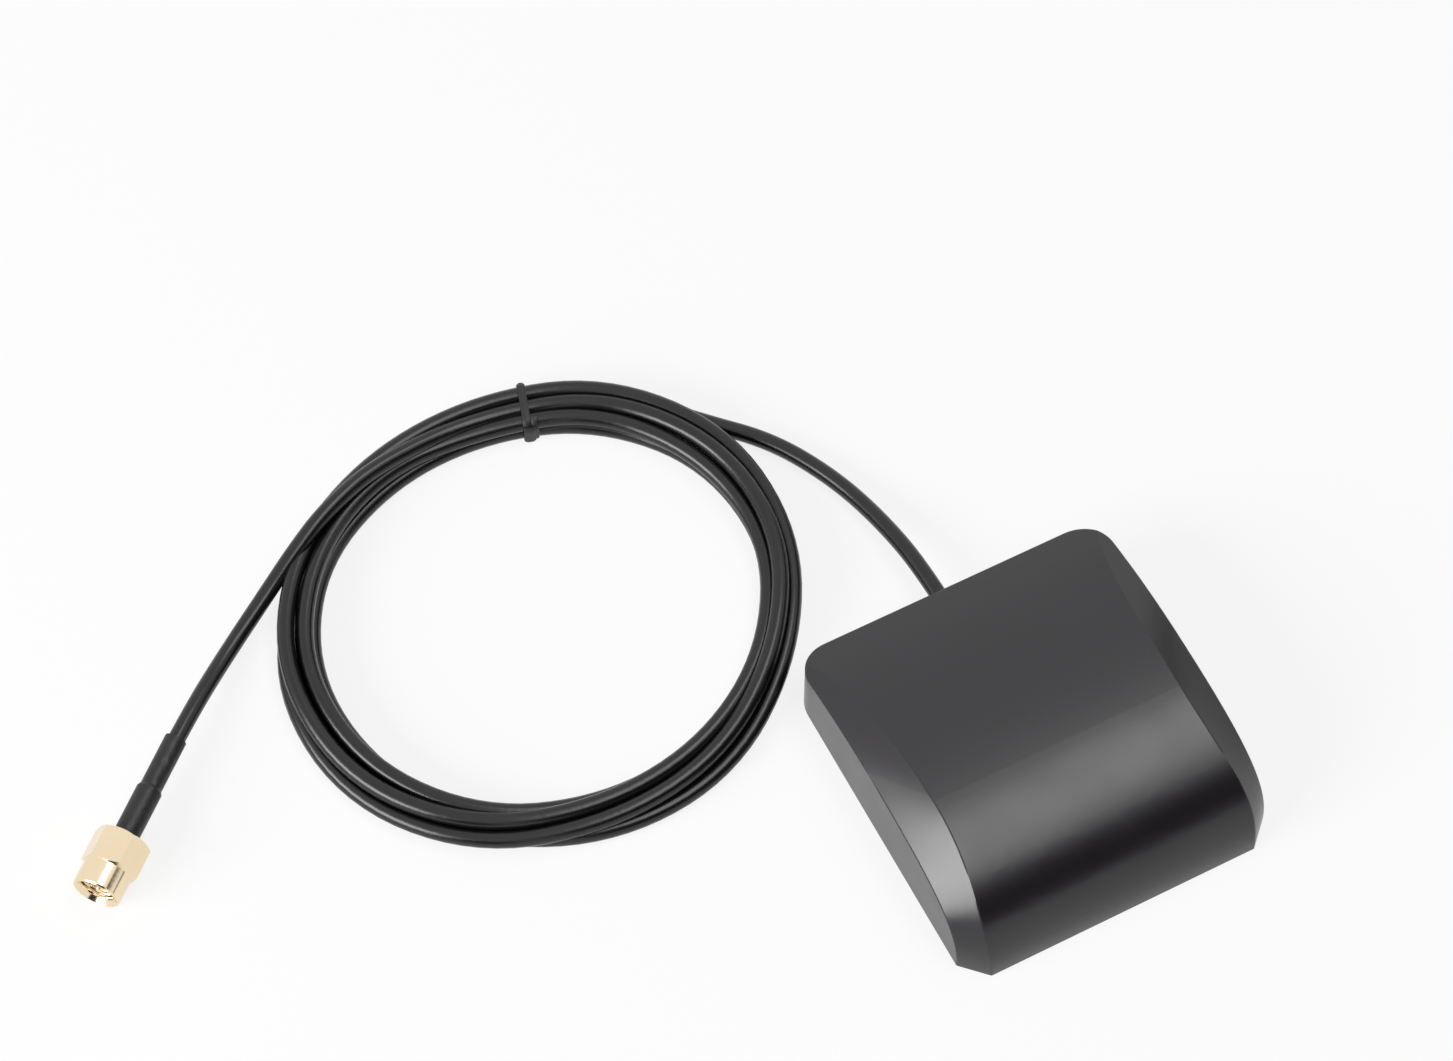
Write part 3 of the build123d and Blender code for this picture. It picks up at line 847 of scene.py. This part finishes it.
@dataclass(frozen=True)
class Panel:
    """Flat rectangle that faces the puck from one direction. Its sizes are metres."""

    name: str
    direction: Point
    width: float
    height: float
    distance: float = 1.2

    def place(self, obj: bpy.types.Object) -> None:
        """Set an object at this panel's place, facing the puck.

        Args:
            obj: lamp or card.
        """
        way = Vector(self.direction).normalized()
        obj.location = way * self.distance
        obj.rotation_euler = (-way).to_track_quat("-Z", "Y").to_euler()
        bpy.context.collection.objects.link(obj)


@dataclass(frozen=True)
class Lamp(Panel):
    """Soft lamp of even radiance."""

    radiance: float = 1.0

    def build(self) -> None:
        """Add the lamp."""
        light = bpy.data.lights.new(self.name, "AREA")
        light.shape = "RECTANGLE"
        light.size = self.width
        light.size_y = self.height
        light.energy = self.radiance * math.pi * self.width * self.height
        self.place(bpy.data.objects.new(self.name, light))


@dataclass(frozen=True)
class Card(Panel):
    """Black card for dark reflections, which the camera doesn't see."""

    def material(self) -> bpy.types.Material:
        """Matt black paint, made once for all cards."""
        black = bpy.data.materials.get("black_card")
        if black:
            return black
        black = bpy.data.materials.new("black_card")
        black.use_nodes = True
        tree = black.node_tree
        tree.nodes.clear()
        matt = add_node(tree, "ShaderNodeBsdfDiffuse", {"Color": linear("#050505")})
        add_node(tree, "ShaderNodeOutputMaterial", links={"Surface": matt.outputs["BSDF"]})
        return black

    def build(self) -> None:
        """Add the card."""
        mesh = bpy.data.meshes.new(self.name)
        x, y = self.width / 2, self.height / 2
        mesh.from_pydata([(-x, -y, 0), (x, -y, 0), (x, y, 0), (-x, y, 0)], [], [(0, 1, 2, 3)])
        mesh.materials.append(self.material())
        obj = bpy.data.objects.new(self.name, mesh)
        self.place(obj)
        obj.visible_camera = False


@dataclass
class Studio:
    """White floor, soft lamps, black cards and the camera of the photograph.

    The floor's size is in metres. Its shadow share is how much of the real shadow shows.
    """

    azimuth: float = 27.44
    elevation: float = 60.48
    camera_place: Point = (-186.30, -256.99, 626.67)
    lens: float = 112.73
    floor_size: float = 6.0
    shadow_share: float = 0.18
    ambient: float = 0.25
    overhead: Lamp = Lamp("overhead", (0.23, -0.11, 0.97), 1.1, 0.4, radiance=3.7)
    key: Lamp = Lamp("key", (-0.905, -0.125, 0.407), 1.15, 0.55, radiance=9.5)
    front_card: Card = Card("front_card", (0.3, -0.78, 0.545), 1.7, 0.9)
    left_card: Card = Card("left_card", (-0.735, -0.607, 0.3), 0.5, 0.6, distance=1.0)
    right_card: Card = Card("right_card", (0.975, 0.085, 0.2), 0.9, 0.45)

    def seen_directly(self, tree: bpy.types.NodeTree) -> bpy.types.NodeSocket:
        """One for rays of the camera, reflections and glass, and zero for lighting rays.

        Args:
            tree: node tree of the floor or the world.

        Returns:
            Socket that carries the switch.
        """
        path = add_node(tree, "ShaderNodeLightPath").outputs
        either = add_node(
            tree,
            "ShaderNodeMath",
            {"operation": "MAXIMUM"},
            {0: path["Is Camera Ray"], 1: path["Is Glossy Ray"]},
        )
        any_of = add_node(
            tree,
            "ShaderNodeMath",
            {"operation": "MAXIMUM"},
            {0: either.outputs["Value"], 1: path["Is Transmission Ray"]},
        )
        return any_of.outputs["Value"]

    def floor(self) -> None:
        """Lay the white floor, which keeps a soft shadow."""
        mesh = bpy.data.meshes.new("floor")
        half = self.floor_size / 2
        corners = [(-half, -half, 0), (half, -half, 0), (half, half, 0), (-half, half, 0)]
        mesh.from_pydata(corners, [], [(0, 1, 2, 3)])
        white = bpy.data.materials.new("white_paper")
        white.use_nodes = True
        tree = white.node_tree
        tree.nodes.clear()
        paper = add_node(tree, "ShaderNodeBsdfDiffuse", {"Color": linear("#fafafa")})
        glow = add_node(tree, "ShaderNodeEmission", {"Color": linear("#ffffff"), "Strength": 1.0})
        share = add_node(
            tree,
            "ShaderNodeMath",
            {"operation": "MULTIPLY", 1: 1 - self.shadow_share},
            {0: self.seen_directly(tree)},
        )
        both = add_node(
            tree,
            "ShaderNodeMixShader",
            links={0: share.outputs["Value"], 1: paper.outputs["BSDF"], 2: glow.outputs["Emission"]},
        )
        add_node(tree, "ShaderNodeOutputMaterial", links={"Surface": both.outputs["Shader"]})
        mesh.materials.append(white)
        floor = bpy.data.objects.new("floor", mesh)
        bpy.context.collection.objects.link(floor)

    def world(self) -> None:
        """Plain ambient light, with a white background where it is seen."""
        world = bpy.data.worlds.new("studio")
        bpy.context.scene.world = world
        world.use_nodes = True
        tree = world.node_tree
        tree.nodes.clear()
        dim = add_node(
            tree, "ShaderNodeBackground", {"Color": linear("#ffffff"), "Strength": self.ambient}
        )
        white = add_node(
            tree, "ShaderNodeBackground", {"Color": linear("#ffffff"), "Strength": 1.0}
        )
        both = add_node(
            tree,
            "ShaderNodeMixShader",
            links={
                0: self.seen_directly(tree),
                1: dim.outputs["Background"],
                2: white.outputs["Background"],
            },
        )
        add_node(tree, "ShaderNodeOutputWorld", links={"Surface": both.outputs["Shader"]})

    def camera(self) -> None:
        """Put the camera where the photograph was taken from."""
        turn, tilt = math.radians(self.azimuth), math.radians(self.elevation)
        right = Vector((math.cos(turn), -math.sin(turn), 0))
        back = Vector(
            (-math.sin(turn) * math.cos(tilt), -math.cos(turn) * math.cos(tilt), math.sin(tilt))
        )
        up = back.cross(right)
        lens = bpy.data.cameras.new("camera")
        lens.lens = self.lens
        camera = bpy.data.objects.new("camera", lens)
        axes = Matrix((right, up, back)).transposed().to_4x4()
        camera.matrix_world = Matrix.Translation(metres(*self.camera_place)) @ axes
        bpy.context.collection.objects.link(camera)
        bpy.context.scene.camera = camera

    def build(self) -> None:
        """Set up floor, world, lamps, cards and camera."""
        self.floor()
        self.world()
        for panel in (self.overhead, self.key, self.front_card, self.left_card, self.right_card):
            panel.build()
        self.camera()
        bpy.context.scene.view_settings.view_transform = "Standard"
        log.info("studio is set")


def main() -> None:
    """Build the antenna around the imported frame."""
    logging.basicConfig(level=logging.INFO, format="%(message)s")
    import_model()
    Puck().build()
    lead = Lead()
    lead.build(Plug().build())
    Tie().build(lead)
    Studio().build()


if __name__ == "__main__":
    main()
